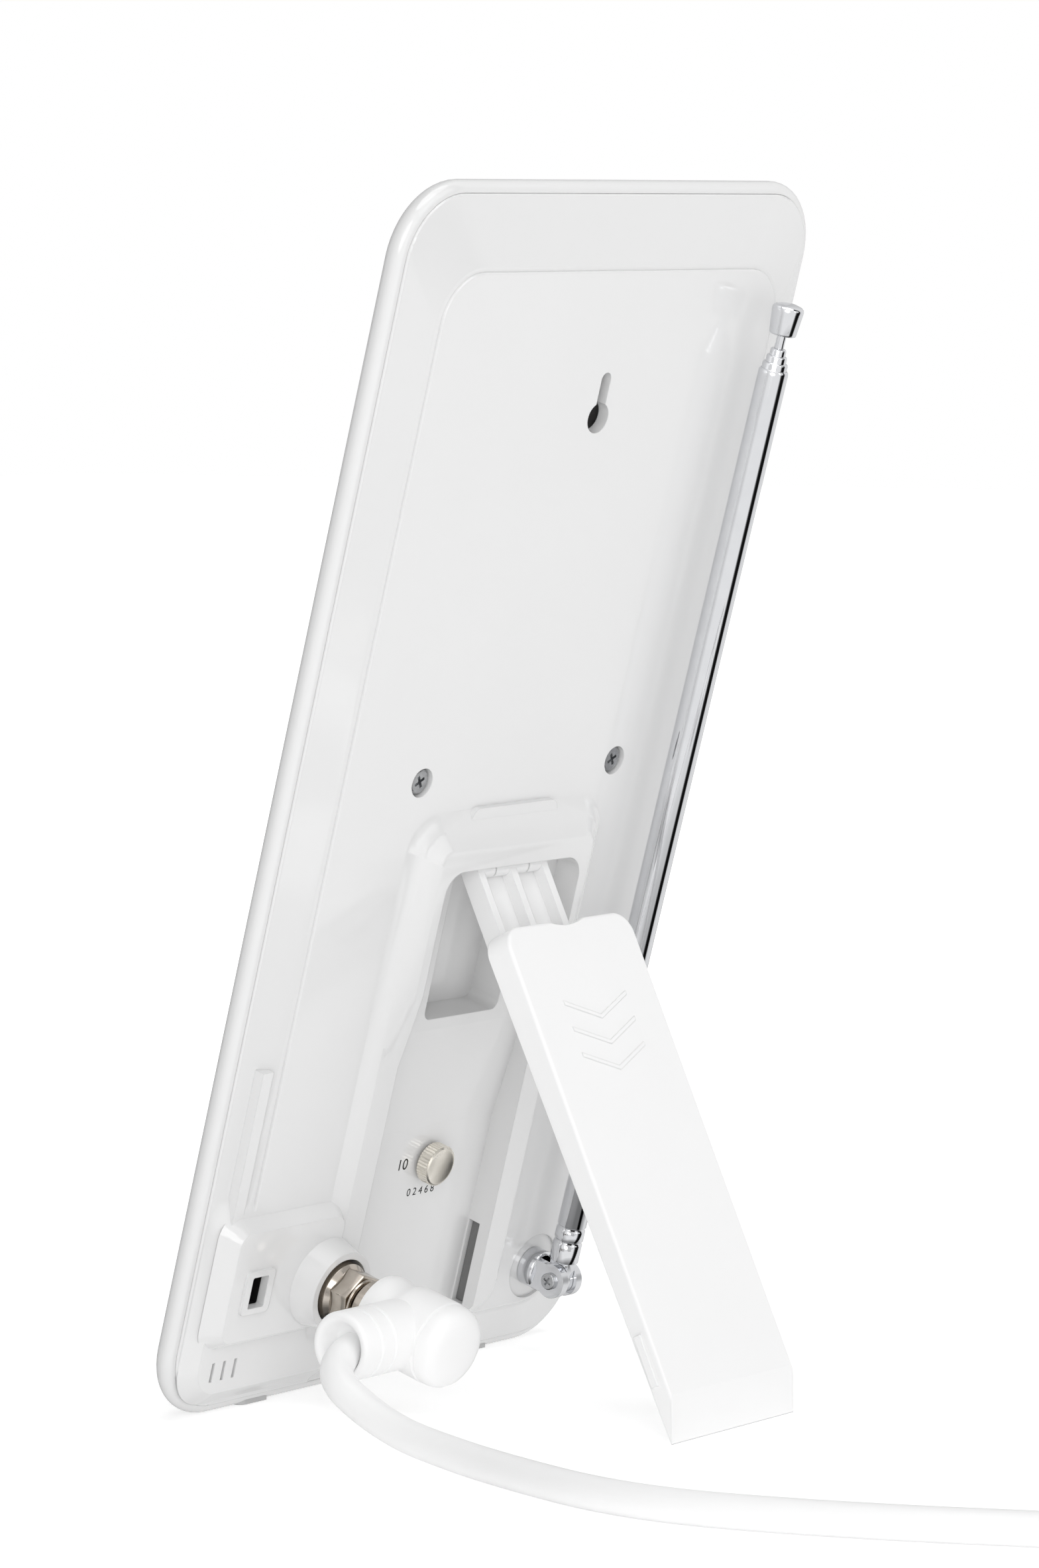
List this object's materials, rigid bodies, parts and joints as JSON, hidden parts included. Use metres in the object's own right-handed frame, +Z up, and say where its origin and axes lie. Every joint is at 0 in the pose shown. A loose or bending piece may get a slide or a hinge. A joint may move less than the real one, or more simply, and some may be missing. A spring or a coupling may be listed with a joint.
{
  "type": "indoor television antenna",
  "caption": "Flat leaning indoor television antenna with a folding rear stand, telescopic rod, gain knob and a coaxial cable on a right-angle plug.",
  "frame": {"origin": "centre of the base on the surface it stands on, measured without the cable", "axes": "+Z up, front of the housing faces -Y, stand and sockets on the +Y side"},
  "size_m": [0.1463, 0.3239, 0.2546],
  "materials": {
    "white_gloss": "glossy moulded plastic",
    "white_satin": "satin moulded plastic",
    "grey_rubber": "soft pad",
    "zinc_steel": "zinc plated",
    "board_laminate": "lacquered laminate",
    "tinplate": "tinned sheet",
    "dark_plastic": "dark moulded plastic",
    "silver_plastic": "pale silver lacquer",
    "nickel": "nickel plated",
    "dielectric": "natural insulating plastic",
    "copper_sheet": "bare sheet",
    "chrome": "bright plated",
    "white_moulding": "soft satin moulding",
    "white_jacket": "flexible satin jacket"
  },
  "bodies": {
    "housing": {"front_cover": "white_gloss", "bottom_pads": "grey_rubber", "rear_cover": "white_gloss", "housing_screws": "zinc_steel", "circuit_board": "board_laminate", "board_screws": "zinc_steel", "shield_can": "tinplate", "gain_control": "dark_plastic", "signal_socket": "nickel", "socket_insulator": "dielectric", "power_socket": "tinplate", "power_contacts": "dark_plastic", "loop_element": "copper_sheet", "rod_contact": "tinplate", "hinge_pin": "zinc_steel", "plug_ferrule": "nickel", "plug_pin": "dielectric", "plug_elbow": "white_moulding", "antenna_cable": "white_jacket", "cable_coil": "white_jacket", "cable_tie": "white_satin", "cable_tail": "white_jacket", "far_plug": "white_moulding"},
    "arm": {"stand_arm": "white_satin"},
    "leg": {"stand_leg": "white_satin"},
    "knob": {"gain_knob": "silver_plastic"},
    "knuckle": {"rod_knuckle": "chrome", "post_clip": "zinc_steel", "knuckle_screw": "zinc_steel"},
    "tube": {"rod_tang": "chrome", "rod_stage_1": "chrome"},
    "stage_2": {"rod_stage_2": "chrome"},
    "stage_3": {"rod_stage_3": "chrome"},
    "stage_4": {"rod_stage_4": "chrome"},
    "tip": {"rod_tip": "chrome", "rod_cap": "chrome"},
    "nut": {"coupling_nut": "nickel"},
    "end_nut": {"far_nut": "nickel"}
  },
  "joints": [
    {"name": "stand_hinge", "type": "hinge", "parent": "housing", "child": "arm", "pos_m": [-0.0015, -0.01095, 0.12182], "axis": [-1, 0, 0], "range_deg": [0, 41]},
    {"name": "leg_slide", "type": "slide", "parent": "arm", "child": "leg", "axis": [0, -0.4187, 0.9081], "range_m": [0, 0.017]},
    {"name": "gain_knob_turn", "type": "hinge", "parent": "housing", "child": "knob", "pos_m": [-0.0048, -0.03003, 0.04685], "axis": [0, 0.9588, -0.284], "range_deg": [-140, 140]},
    {"name": "rod_swivel", "type": "hinge", "parent": "housing", "child": "knuckle", "pos_m": [-0.0448, -0.03541, 0.0181], "axis": [0, 0.9588, -0.284], "range_deg": [-90, 8]},
    {"name": "rod_tilt", "type": "hinge", "parent": "knuckle", "child": "tube", "pos_m": [-0.0448, -0.02889, 0.01616], "axis": [-0.9999, -0.0037, -0.0126], "range_deg": [0, 90]},
    {"name": "rod_slide_1", "type": "slide", "parent": "tube", "child": "stage_2", "axis": [-0.0131, 0.284, 0.9587], "range_m": [0, 0.18]},
    {"name": "rod_slide_2", "type": "slide", "parent": "stage_2", "child": "stage_3", "axis": [-0.0131, 0.284, 0.9587], "range_m": [0, 0.18]},
    {"name": "rod_slide_3", "type": "slide", "parent": "stage_3", "child": "stage_4", "axis": [-0.0131, 0.284, 0.9587], "range_m": [0, 0.18]},
    {"name": "rod_slide_4", "type": "slide", "parent": "stage_4", "child": "tip", "axis": [-0.0131, 0.284, 0.9587], "range_m": [0, 0.18]},
    {"name": "nut_spin", "type": "hinge", "parent": "housing", "child": "nut", "pos_m": [0.031, -0.02316, 0.02427], "axis": [0, 0.9588, -0.284], "continuous": true},
    {"name": "end_nut_spin", "type": "hinge", "parent": "housing", "child": "end_nut", "pos_m": [0.0008, 0.2538, 0.0064], "axis": [-0.867, 0.4983, 0], "continuous": true}
  ]
}
